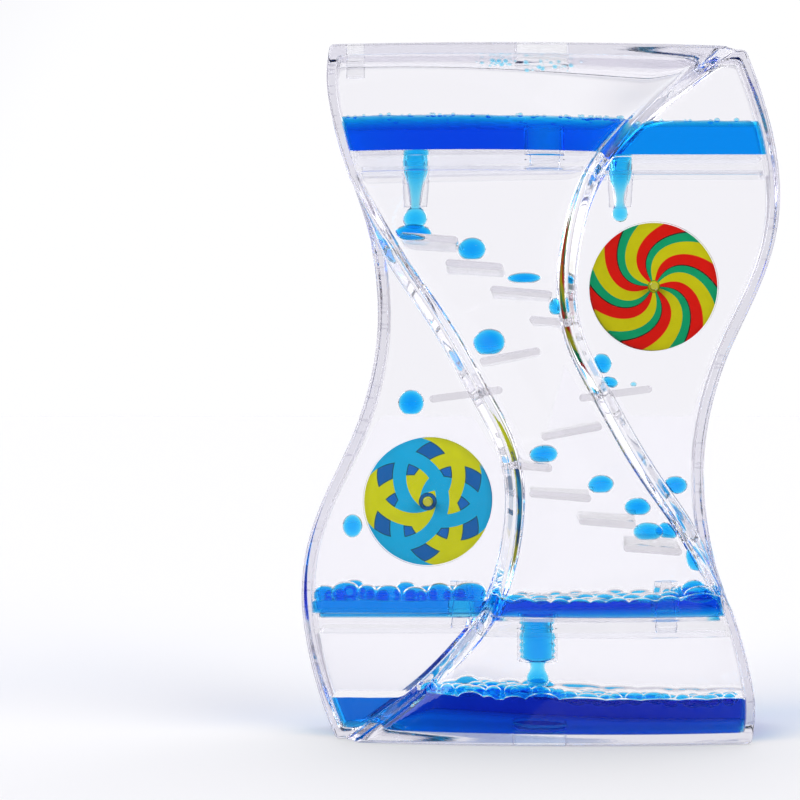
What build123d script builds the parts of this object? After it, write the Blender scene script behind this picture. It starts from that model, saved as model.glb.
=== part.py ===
from build123d import *
import math
import os

# Liquid motion timer: a sealed clear case with an hourglass centre that bulges
# out of two flat wings, two shelves with drip nozzles, twelve ramps, two free
# spinning paddle wheels and a coloured liquid that drips from shelf to shelf.
# Millimetres, +Z up, X across the face, -Y is the front. Origin at the middle
# of the bottom face. The case is the same after half a turn about the line
# through its centre that runs front to back, and its rear mirrors its front.

os.makedirs("parts", exist_ok=True)

# ---------------------------------------------------------------- dimensions
HEIGHT = 150.0          # overall height
WING_HALF = 9.0         # half depth of the flat wings
PEAK_HALF = 17.75       # half depth at the crown of the bulging centre
WALL = 2.0              # front, rear and side walls
PLATE = 2.2             # top and bottom walls
CZ = HEIGHT / 2.0

SHELF_TOP = 127.2       # upper shelf, top face
SHELF_T = 4.3           # depth of a shelf's rim
SHELF_WEB = 2.3         # thickness of a shelf's web
RIM_W = 1.3             # width of a shelf's rim

NOZZLE_A_X = -26.9      # drip nozzle over the ramps
NOZZLE_B_X = 17.5       # drip nozzle over the wheel
NOZZLE_R = 3.0          # outside radius of a drip nozzle at its root
NOZZLE_TIP_R = 2.5      # outside radius at its tip
NOZZLE_LEN = 6.6        # from the underside of the shelf to the tip
NOZZLE_BORE = 2.4       # bore radius at the top
NOZZLE_TIP_BORE = 1.0   # bore radius at the tip
RISER_R = 4.25          # return tube, outside radius
RISER_BORE = 3.3        # return tube, bore radius
RISER_UP = 6.5          # its length above the shelf

RAMP_T = 1.6            # ramp thickness

WHEEL_X = 24.7          # wheel centre, from the middle
WHEEL_DZ = 23.5         # wheel centre, from mid height
WHEEL_R = 14.2          # wheel flanges
PRINT_R = 13.9          # printed disc on each flange
FLANGE_IN = 4.5         # inner face of a flange, from the middle plane
FLANGE_OUT = 5.5        # outer face of a flange
PRINT_T = 0.3           # printed disc thickness
HUB_R = 2.6             # wheel hub
PADDLE_T = 0.9          # paddle thickness
PADDLE_R = 13.4         # paddle reach
PADDLES = 8
PIN_R = 0.8             # axle pin
PIN_CLEAR = 0.08        # running clearance of the wheel on its pin, on radius
BOSS_R = 2.0            # boss that carries the pin's end
BOSS_END = 6.1          # inner end of a boss, from the middle plane
PIN_HALF = 7.9          # half length of the pin

PLUG_R = 5.85           # round plug in the middle of the top and bottom plates
PLUG_STAND = 0.6        # how far it stands into the case
FILLER_X = -40.0        # small filler plug at the top left
FILLER_R = 2.0
FILLER_IN = 3.4         # its reach below the plate

UPPER_LEVEL = 134.7     # coloured liquid in the upper reservoir
SHELF_LEVEL = 31.2      # on the lower shelf
WING_PILE = 34.0        # settled drops on the lower shelf, wing side
PILE_END = -13.0        # right-hand end of that pile
BOTTOM_LEVEL = 10.0     # in the lower reservoir

# ------------------------------------------------------------------ outlines
# Left edge of the case, top to bottom, as X and Z. The right edge is the same
# curve after half a turn.
EDGE = [(-45.2, 150.0), (-46.0, 142.2), (-44.9, 134.6), (-42.0, 124.0),
        (-38.2, 112.4), (-35.9, 99.8), (-35.6, 88.9), (-37.2, 78.1),
        (-41.5, 65.0), (-47.6, 51.9), (-51.3, 40.3), (-52.1, 30.2),
        (-50.3, 17.2), (-46.3, 4.1), (-44.6, 0.0)]

# Left edge of the hourglass centre. It starts outside the case edge, crosses
# it at the shoulder, and runs to the bottom left corner.
WAIST = [(-48.0, 136.0), (-44.6, 129.0), (-40.8, 120.8), (-36.6, 112.3),
         (-32.1, 103.8), (-25.9, 94.6), (-19.4, 84.2), (-13.4, 73.3),
         (-8.9, 64.4), (-6.7, 54.8), (-6.8, 47.1), (-8.4, 37.5),
         (-12.1, 27.4), (-18.3, 19.2), (-26.5, 11.0), (-34.3, 5.1),
         (-42.0, -0.6), (-47.0, -4.0)]

# The bulge's section at each height is a shallow parabola. Its crown leans to
# the left in the top half, and to the right in the bottom half.
CROWN = [(-0.1, 3.2, 0.0050), (0.0, 0.0, 0.0050), (0.2, -6.5, 0.0050),
         (0.4, -11.0, 0.0048), (0.6, -15.0, 0.0045), (0.787, -18.0, 0.0038),
         (0.893, -14.0, 0.0028), (1.0, -8.0, 0.0018), (1.1, -4.0, 0.0012),
         (1.2, -2.0, 0.0010)]

# Ramps of the top half: middle X and Z, length, and slope in degrees.
RAMPS = [(-23.9, 108.4, 12.6, -5.0), (-14.2, 102.6, 12.2, -5.0),
         (-4.2, 96.8, 13.2, -5.0), (2.5, 90.5, 10.0, -5.0),
         (-6.6, 83.1, 13.0, 10.4), (-16.2, 74.9, 16.3, 7.5)]

# Drops of coloured liquid on their way down: X, Y, Z and the three radii.
DROPS_RAMPS = [(-26.9, -5.0, 111.7, 2.0, 2.3, 1.45),
               (-14.9, -2.0, 106.9, 2.8, 2.5, 2.3),
               (-4.0, 1.0, 100.5, 3.3, 2.6, 1.15),
               (3.4, -3.0, 94.1, 2.0, 1.9, 1.75),
               (-11.0, 0.0, 86.7, 3.15, 2.8, 2.7),
               (-28.6, -1.0, 73.3, 2.7, 2.7, 2.6),
               (13.4, 1.0, 81.8, 2.2, 2.2, 2.15),
               (15.0, -2.0, 77.6, 1.9, 1.9, 1.2),
               (0.9, 0.0, 62.1, 2.8, 2.5, 1.85),
               (12.7, -1.0, 55.0, 2.6, 2.4, 1.85),
               (20.7, 0.5, 49.8, 2.7, 2.4, 1.85),
               (22.9, -3.2, 45.0, 3.0, 2.1, 1.8),
               (27.3, 1.6, 45.0, 2.5, 2.2, 1.8),
               (29.8, 3.0, 54.9, 2.6, 2.5, 1.9),
               (33.3, -2.0, 39.2, 2.0, 2.0, 2.6)]
DROP_WHEEL = (-41.6, 0.0, 45.9, 2.2, 2.3, 2.6)


# ------------------------------------------------------------------- helpers
def turn(points):
    """Half a turn about the middle of the face."""
    return [(-x, HEIGHT - z) for x, z in points]


def crown(z):
    """Middle and steepness of the bulge's section at height z."""
    u = (z - CZ) / CZ
    side = 1.0 if u >= 0.0 else -1.0
    a = min(abs(u), 1.1)
    i = 1
    while a > CROWN[i + 1][0] and i < len(CROWN) - 3:
        i += 1
    p0, p1, p2, p3 = CROWN[i - 1:i + 3]
    t = (a - p1[0]) / (p2[0] - p1[0])
    out = []
    for k in (1, 2):
        m1 = (p2[k] - p0[k]) / (p2[0] - p0[0]) * (p2[0] - p1[0])
        m2 = (p3[k] - p1[k]) / (p3[0] - p1[0]) * (p2[0] - p1[0])
        out.append((2 * t ** 3 - 3 * t ** 2 + 1) * p1[k] + (t ** 3 - 2 * t ** 2 + t) * m1
                   + (3 * t ** 2 - 2 * t ** 3) * p2[k] + (t ** 3 - t ** 2) * m2)
    return side * out[0], out[1]


def depth(x, z):
    """Half depth of the bulge's outer face at x and z."""
    c, k = crown(z)
    return PEAK_HALF - k * (x - c) ** 2


def shifted(points, d):
    """The curve moved d to its right-hand side, for one drawn downwards."""
    out = []
    n = len(points)
    for i in range(n):
        a = points[max(i - 1, 0)]
        b = points[min(i + 1, n - 1)]
        tx, tz = b[0] - a[0], b[1] - a[1]
        s = math.hypot(tx, tz)
        out.append((points[i][0] - tz / s * d, points[i][1] + tx / s * d))
    return out


def curve(points):
    return Spline(*[Vector(x, 0, z) for x, z in points])


def outline(edge, z0, z1):
    """Face between a left edge and its half turn, cut off at z0 and z1."""
    left = curve(edge)
    right = curve(turn(edge))
    top = Line(right @ 0 if (right @ 0).Z > (right @ 1).Z else right @ 1,
               left @ 0 if (left @ 0).Z > (left @ 1).Z else left @ 1)
    bottom = Line(left @ 1 if (left @ 1).Z < (left @ 0).Z else left @ 0,
                  right @ 1 if (right @ 1).Z < (right @ 0).Z else right @ 0)
    return make_face([left, bottom, right, top])


def hourglass(waist):
    """Face between the two waist curves, open to the case's edge elsewhere."""
    left = curve(waist)
    right = curve(turn(waist))
    a, b = waist[-1], turn(waist)[0]
    c, d = turn(waist)[-1], waist[0]
    foot = Polyline(*[Vector(x, 0, z) for x, z in (a, (60, a[1]), (60, b[1]), b)])
    head = Polyline(*[Vector(x, 0, z) for x, z in (c, (-60, c[1]), (-60, d[1]), d)])
    return make_face([left, foot, right, head])


def slab(face, half):
    return extrude(face, amount=half, dir=(0, 1, 0), both=True)


def block(x0, x1, y0, y1, z0, z1):
    return Pos((x0 + x1) / 2, (y0 + y1) / 2, (z0 + z1) / 2) * Box(x1 - x0, y1 - y0, z1 - z0)


def skin(inset):
    """Smooth front face of the bulge, moved back by inset."""
    rows = []
    for i in range(19):
        x = -60.0 + 120.0 * i / 18
        row = []
        for j in range(25):
            z = -9.0 + 168.0 * j / 24
            row.append(Vector(x, -(depth(x, z) - inset), z))
        rows.append(row)
    return Face.make_surface_from_array_of_points(rows)


def bulge(waist, inset, reach):
    """Hourglass prism with a crowned front and rear."""
    body = slab(hourglass(waist), reach)
    cutter = Solid.extrude(skin(inset), Vector(0, -30, 0))
    body = body - cutter
    body = body - mirror(cutter, about=Plane.XZ)
    return body


def one(shape, name):
    found = shape.solids()
    if len(found) > 1:
        found = sorted(found, key=lambda s: s.volume, reverse=True)
        print("note", name, "has", len(found), "solids", [round(s.volume, 2) for s in found[:4]])
    return found[0]


def put(name, *solids):
    made = solids[0] if len(solids) == 1 else Compound(children=list(solids))
    made.label = name
    export_step(made, "parts/" + name + ".step")


# ---------------------------------------------------------------------- case
band = block(-80, 80, -40, 40, 0, HEIGHT)
room = block(-80, 80, -40, 40, PLATE, HEIGHT - PLATE)

wings = slab(outline(EDGE, 0, HEIGHT), WING_HALF)
envelope = slab(outline(EDGE, 0, HEIGHT), 40)
centre = bulge(WAIST, 0.0, 19.0) & envelope & band
outer = wings + centre

inner_edge = shifted(EDGE, WALL)
inner_edge[0] = (inner_edge[0][0], HEIGHT + 2.0)
inner_edge[-1] = (inner_edge[-1][0], -2.0)
inner_waist = shifted(WAIST, WALL)
inner_wings = slab(outline(inner_edge, 0, HEIGHT), WING_HALF - WALL) & room
inner_envelope = slab(outline(inner_edge, 0, HEIGHT), 40)
inner_centre = bulge(inner_waist, WALL, 19.0) & inner_envelope & room
cavity = inner_wings + inner_centre

case = outer - cavity
case = one(case, "case")

WL = (-WHEEL_X, CZ - WHEEL_DZ)
WR = (WHEEL_X, CZ + WHEEL_DZ)
for cx, cz in (WL, WR):
    for s in (-1, 1):
        boss = Pos(cx, s * (BOSS_END + 7.2) / 2, cz) * Rot(90, 0, 0) * Cylinder(BOSS_R, 7.2 - BOSS_END)
        case = case + boss
    case = case - Pos(cx, 0, cz) * Rot(90, 0, 0) * Cylinder(PIN_R, 2 * PIN_HALF)
case = case - Pos(0, 0, HEIGHT) * Cylinder(PLUG_R, 8)
case = case - Pos(0, 0, 0) * Cylinder(PLUG_R, 8)
case = case - Pos(FILLER_X, 0, HEIGHT) * Cylinder(FILLER_R, 8)

front_shell = one(case & block(-80, 80, -40, 0, -5, 160), "front_shell")
rear_shell = one(case & block(-80, 80, 0, 40, -5, 160), "rear_shell")
put("front_shell", front_shell)
put("rear_shell", rear_shell)

top_plug = Pos(0, 0, HEIGHT - (PLATE + PLUG_STAND) / 2) * Cylinder(PLUG_R, PLATE + PLUG_STAND)
bottom_plug = Pos(0, 0, (PLATE + PLUG_STAND) / 2) * Cylinder(PLUG_R, PLATE + PLUG_STAND)
filler_plug = Pos(FILLER_X, 0, HEIGHT - (PLATE + FILLER_IN) / 2) * Cylinder(FILLER_R, PLATE + FILLER_IN)
put("top_plug", one(top_plug, "top_plug"))
put("bottom_plug", one(bottom_plug, "bottom_plug"))
put("filler_plug", one(filler_plug, "filler_plug"))

# ------------------------------------------------------------------- shelves
# A web with a deeper rim all round, two tapered drip nozzles that hang from
# it, and one wide return tube that stands on it. The lower shelf is the same
# moulding the other way up.
rim_room = slab(outline(shifted(EDGE, WALL + RIM_W), 0, HEIGHT), WING_HALF - WALL - RIM_W)
rim_room = rim_room + (bulge(shifted(WAIST, WALL + RIM_W), WALL + RIM_W, 19.0)
                       & slab(outline(shifted(EDGE, WALL + RIM_W), 0, HEIGHT), 40))

low = SHELF_TOP - SHELF_T
web_top = SHELF_TOP - (SHELF_T - SHELF_WEB) / 2
web_low = web_top - SHELF_WEB
tip = low - NOZZLE_LEN
shelf = cavity & block(-80, 80, -40, 40, low, SHELF_TOP)
shelf = shelf - (rim_room & block(-80, 80, -40, 40, low - 1, web_low))
shelf = shelf - (rim_room & block(-80, 80, -40, 40, web_top, SHELF_TOP + 1))
for nx in (NOZZLE_A_X, NOZZLE_B_X):
    shelf = shelf + Pos(nx, 0, (tip + web_low + 0.5) / 2) * Cone(NOZZLE_TIP_R, NOZZLE_R, web_low + 0.5 - tip)
    shelf = shelf - Pos(nx, 0, (tip + web_top) / 2) * Cone(NOZZLE_TIP_BORE, NOZZLE_BORE, web_top - tip)
riser_top = SHELF_TOP + RISER_UP
shelf = shelf + Pos(0, 0, (web_low + riser_top) / 2) * Cylinder(RISER_R, riser_top - web_low)
shelf = shelf - Pos(0, 0, SHELF_TOP) * Cylinder(RISER_BORE, 30)
upper_shelf = one(shelf, "upper_shelf")
flip = Pos(0, 0, CZ) * Rot(0, 180, 0) * Pos(0, 0, -CZ)
lower_shelf = one(flip * upper_shelf, "lower_shelf")
put("upper_shelf", upper_shelf)
put("lower_shelf", lower_shelf)

# --------------------------------------------------------------------- ramps
ramps = []
for cx, cz, length, slope in RAMPS:
    with_ends = Plane.XZ * SlotOverall(length, RAMP_T)
    bar = extrude(with_ends, amount=25, both=True)
    bar = Pos(cx, 0, cz) * Rot(0, -slope, 0) * bar
    ramps.append(one(bar & cavity, "ramp"))
for i in range(5, -1, -1):
    ramps.append(one(flip * ramps[i], "ramp"))
for i, r in enumerate(ramps):
    put("ramp_%02d" % (i + 1), r)


# -------------------------------------------------------------------- wheels
def wheel(cx, cz, lean):
    across = Rot(90, 0, 0)
    body = across * Cylinder(HUB_R, 2 * FLANGE_OUT)
    for s in (-1, 1):
        body = body + Pos(0, s * (FLANGE_IN + FLANGE_OUT) / 2, 0) * across * Cylinder(WHEEL_R, FLANGE_OUT - FLANGE_IN)
    for i in range(PADDLES):
        a = 360.0 * i / PADDLES + lean
        arm = Pos((PADDLE_R + HUB_R - 0.6) / 2, 0, 0) * Box(PADDLE_R - HUB_R + 0.6, 2 * FLANGE_IN + 0.4, PADDLE_T)
        body = body + Rot(0, a, 0) * arm
    body = body - across * Cylinder(PIN_R + PIN_CLEAR, 20)
    return one(Pos(cx, 0, cz) * body, "wheel")


def print_disc(cx, cz, s):
    across = Rot(90, 0, 0)
    disc = across * Cylinder(PRINT_R, PRINT_T) - across * Cylinder(PIN_R + PIN_CLEAR, 2)
    return one(Pos(cx, s * (FLANGE_OUT + PRINT_T / 2), cz) * disc, "disc")


for label, (cx, cz), lean in (("left", WL, 8.0), ("right", WR, 20.0)):
    put(label + "_wheel", wheel(cx, cz, lean))
    put(label + "_front_print", print_disc(cx, cz, -1))
    put(label + "_rear_print", print_disc(cx, cz, 1))
    put(label + "_axle_pin", one(Pos(cx, 0, cz) * Rot(90, 0, 0) * Cylinder(PIN_R, 2 * PIN_HALF), "pin"))

# ----------------------------------------------------------- coloured liquid
def stream(nx, r_tip, drop_r, drop_z):
    """Liquid that fills a nozzle's bore and hangs from its tip as a drop."""
    cone = Pos(nx, 0, (web_top + tip) / 2) * Cone(NOZZLE_TIP_BORE, NOZZLE_BORE, web_top - tip)
    neck = Pos(nx, 0, (tip + drop_z) / 2) * Cylinder(r_tip * 0.8, tip - drop_z)
    ball = Pos(nx, 0, drop_z) * Sphere(drop_r)
    return one(cone + neck + ball, "stream")


def drop(x, y, z, rx, ry, rz):
    ball = scale(Sphere(1.0), by=(rx, ry, rz))
    return one(Pos(x, y, z) * ball, "drop")


ramp_stream = stream(NOZZLE_A_X, NOZZLE_TIP_BORE, 2.3, tip - 2.6)
wheel_stream = stream(NOZZLE_B_X, NOZZLE_TIP_BORE, 1.75, tip - 2.0)
foot_web_top = HEIGHT - web_low
riser_end = HEIGHT - riser_top
neck = Pos(0, 0, (foot_web_top + riser_end + 0.4) / 2) * Cylinder(RISER_BORE, foot_web_top - riser_end - 0.4)
neck = neck + Pos(0, 0, riser_end - 1.6) * Cylinder(1.7, 5.0)
neck = neck + Pos(0, 0, riser_end - 3.0) * Sphere(2.3)
return_stream = one(neck & block(-80, 80, -40, 40, BOTTOM_LEVEL + 0.6, 60), "return_stream")

pool = cavity & block(-80, 80, -40, 40, web_low, UPPER_LEVEL)
pool = pool - upper_shelf - ramp_stream - wheel_stream
pool = pool - Pos(0, 0, riser_top - 15) * Cylinder(RISER_BORE, 30)
upper_liquid = one(pool, "upper_liquid")

pool = cavity & block(-80, 80, -40, 40, HEIGHT - web_top, SHELF_LEVEL)
pool = pool - lower_shelf - return_stream
for nx in (-NOZZLE_A_X, -NOZZLE_B_X):
    pool = pool - Pos(nx, 0, HEIGHT - web_low) * Cylinder(NOZZLE_BORE - 0.2, 40)
shelf_liquid = one(pool, "shelf_liquid")
pile = cavity & block(-80, PILE_END, -40, 40, SHELF_LEVEL, WING_PILE)
pile = pile - Pos(-NOZZLE_B_X, 0, 30) * Cylinder(NOZZLE_R + 0.01, 40)
settled_drops = one(pile, "settled_drops")

pool = cavity & block(-80, 80, -40, 40, PLATE, BOTTOM_LEVEL)
pool = pool - Pos(0, 0, 0) * Cylinder(PLUG_R, 2 * (PLATE + PLUG_STAND))
bottom_liquid = one(pool, "bottom_liquid")

ramp_drops = [drop(*d) for d in DROPS_RAMPS]
wheel_drop = drop(*DROP_WHEEL)
put("ramp_stream", ramp_stream)
put("wheel_stream", wheel_stream)
put("return_stream", return_stream)
put("upper_liquid", upper_liquid)
put("shelf_liquid", shelf_liquid)
put("settled_drops", settled_drops)
put("bottom_liquid", bottom_liquid)
put("ramp_drops", *ramp_drops)
put("wheel_drop", wheel_drop)

# ----------------------------------------------------------------- clear oil
# It fills what is left of the case. Round each wheel it stands back from the
# space that the wheel turns in.
oil = cavity & block(-80, 80, -40, 40, UPPER_LEVEL, HEIGHT)
oil = oil - Pos(0, 0, HEIGHT) * Cylinder(PLUG_R, 2 * (PLATE + PLUG_STAND))
oil = oil - filler_plug
put("upper_oil", one(oil, "upper_oil"))

oil = cavity & block(-80, 80, -40, 40, HEIGHT - web_top, riser_top)
for piece in [upper_shelf, lower_shelf, upper_liquid, shelf_liquid, settled_drops,
              ramp_stream, wheel_stream, return_stream] + ramps:
    oil = oil - piece
for cx, cz in (WL, WR):
    oil = oil - Pos(cx, 0, cz) * Rot(90, 0, 0) * Cylinder(WHEEL_R + 0.4, 2 * WING_HALF)
for piece in ramp_drops + [wheel_drop]:
    oil = oil - piece
put("middle_oil", one(oil, "middle_oil"))

oil = cavity & block(-80, 80, -40, 40, BOTTOM_LEVEL, HEIGHT - web_top)
for piece in (lower_shelf, return_stream):
    oil = oil - piece
put("lower_oil", one(oil, "lower_oil"))
print("case volume", round(front_shell.volume + rear_shell.volume), "cavity", round(cavity.volume))
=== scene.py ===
import math
import random

import bmesh
import bpy
import numpy as np
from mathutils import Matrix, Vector, geometry


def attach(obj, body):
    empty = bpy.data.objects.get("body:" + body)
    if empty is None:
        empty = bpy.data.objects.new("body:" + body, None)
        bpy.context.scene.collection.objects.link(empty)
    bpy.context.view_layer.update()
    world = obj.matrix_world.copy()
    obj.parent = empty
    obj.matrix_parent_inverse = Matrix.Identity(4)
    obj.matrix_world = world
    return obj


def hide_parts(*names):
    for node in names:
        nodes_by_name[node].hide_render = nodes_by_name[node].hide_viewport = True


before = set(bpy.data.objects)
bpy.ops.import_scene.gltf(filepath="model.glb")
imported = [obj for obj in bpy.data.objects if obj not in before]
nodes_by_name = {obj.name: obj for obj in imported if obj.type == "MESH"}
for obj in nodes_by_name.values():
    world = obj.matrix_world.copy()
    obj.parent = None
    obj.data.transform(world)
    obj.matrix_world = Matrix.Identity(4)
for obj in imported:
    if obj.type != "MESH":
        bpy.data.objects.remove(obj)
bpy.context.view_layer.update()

random.seed(7)
scene = bpy.context.scene

# ------------------------------------------------------------------ dimensions
# Millimetres here. Every mesh is written in metres.
HEIGHT = 150.0
CZ = 75.0
WING_HALF = 9.0
PEAK_HALF = 17.75
EDGE = [(-45.2, 150.0), (-46.0, 142.2), (-44.9, 134.6), (-42.0, 124.0),
        (-38.2, 112.4), (-35.9, 99.8), (-35.6, 88.9), (-37.2, 78.1),
        (-41.5, 65.0), (-47.6, 51.9), (-51.3, 40.3), (-52.1, 30.2),
        (-50.3, 17.2), (-46.3, 4.1), (-44.6, 0.0)]
WAIST = [(-48.0, 136.0), (-44.6, 129.0), (-40.8, 120.8), (-36.6, 112.3),
         (-32.1, 103.8), (-25.9, 94.6), (-19.4, 84.2), (-13.4, 73.3),
         (-8.9, 64.4), (-6.7, 54.8), (-6.8, 47.1), (-8.4, 37.5),
         (-12.1, 27.4), (-18.3, 19.2), (-26.5, 11.0), (-34.3, 5.1),
         (-42.0, -0.6), (-47.0, -4.0)]
CROWN = [(-0.1, 3.2, 0.0050), (0.0, 0.0, 0.0050), (0.2, -6.5, 0.0050),
         (0.4, -11.0, 0.0048), (0.6, -15.0, 0.0045), (0.787, -18.0, 0.0038),
         (0.893, -14.0, 0.0028), (1.0, -8.0, 0.0018), (1.1, -4.0, 0.0012),
         (1.2, -2.0, 0.0010)]
PLUG_R = 5.85
FILLER_X = -40.0
FILLER_R = 2.0
WL = (-24.7, 51.5)
WR = (24.7, 98.5)


# --------------------------------------------------------------------- curves
def slopes(t, p):
    n = len(t)
    m = np.zeros((n, n))
    b = np.zeros(n)

    def end(i, j, k):
        a = (p[j] - p[i]) / (t[j] - t[i])
        c = (p[k] - p[j]) / (t[k] - t[j])
        return a + (a - c) / (t[k] - t[i]) * (t[j] - t[i])

    m[0, 0] = 1
    b[0] = end(0, 1, 2)
    m[-1, -1] = 1
    b[-1] = end(n - 1, n - 2, n - 3)
    for i in range(1, n - 1):
        h0, h1 = t[i] - t[i - 1], t[i + 1] - t[i]
        m[i, i - 1], m[i, i], m[i, i + 1] = h1, 2 * (h0 + h1), h0
        b[i] = 3 * (h1 * (p[i] - p[i - 1]) / h0 + h0 * (p[i + 1] - p[i]) / h1)
    return np.linalg.solve(m, b)


def through(points, count=3000):
    """Smooth curve through the points, as arrays of X and Z with Z rising."""
    p = np.array(points, float)
    t = np.concatenate([[0], np.cumsum(np.hypot(*np.diff(p, axis=0).T))])
    s = np.linspace(0, t[-1], count)
    i = np.clip(np.searchsorted(t, s) - 1, 0, len(t) - 2)
    h = t[i + 1] - t[i]
    u = (s - t[i]) / h
    out = []
    for k in (0, 1):
        m = slopes(t, p[:, k])
        out.append((2 * u ** 3 - 3 * u ** 2 + 1) * p[i, k] + (u ** 3 - 2 * u ** 2 + u) * h * m[i]
                   + (3 * u ** 2 - 2 * u ** 3) * p[i + 1, k] + (u ** 3 - u ** 2) * h * m[i + 1])
    return out[0][::-1], out[1][::-1]


def moved(xz, d):
    """The curve moved d to the right of its downward run."""
    x, z = xz
    tx, tz = np.gradient(x), np.gradient(z)
    s = np.hypot(tx, tz)
    x2, z2 = x + tz / s * d, z - tx / s * d
    keep = np.concatenate([[True], np.diff(np.maximum.accumulate(z2)) > 0])
    return x2[keep], z2[keep]


RAW_EDGE = through(EDGE)
RAW_WAIST = through(WAIST)


def at(xz, z):
    """X of a left-hand curve at height z, and the length of its normal's run along X."""
    x0 = float(np.interp(z, xz[1], xz[0]))
    g = (float(np.interp(z + 0.3, xz[1], xz[0])) - float(np.interp(z - 0.3, xz[1], xz[0]))) / 0.6
    return x0, math.sqrt(1 + min(g * g, 6.0))


def _crown_rows():
    zs = np.linspace(-12, 162, 1741)
    c, k = [], []
    for z in zs:
        u = (z - CZ) / CZ
        side = 1.0 if u >= 0 else -1.0
        a = min(abs(u), 1.1)
        i = 1
        while a > CROWN[i + 1][0] and i < len(CROWN) - 3:
            i += 1
        p0, p1, p2, p3 = CROWN[i - 1:i + 3]
        t = (a - p1[0]) / (p2[0] - p1[0])
        v = []
        for n in (1, 2):
            m1 = (p2[n] - p0[n]) / (p2[0] - p0[0]) * (p2[0] - p1[0])
            m2 = (p3[n] - p1[n]) / (p3[0] - p1[0]) * (p2[0] - p1[0])
            v.append((2 * t ** 3 - 3 * t ** 2 + 1) * p1[n] + (t ** 3 - 2 * t ** 2 + t) * m1
                     + (3 * t ** 2 - 2 * t ** 3) * p2[n] + (t ** 3 - t ** 2) * m2)
        c.append(side * v[0])
        k.append(v[1])
    return zs, np.array(c), np.array(k)


CROWN_Z, CROWN_C, CROWN_K = _crown_rows()


def bulge(x, z):
    c = np.interp(z, CROWN_Z, CROWN_C)
    k = np.interp(z, CROWN_Z, CROWN_K)
    return PEAK_HALF - k * (x - c) ** 2


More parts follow.
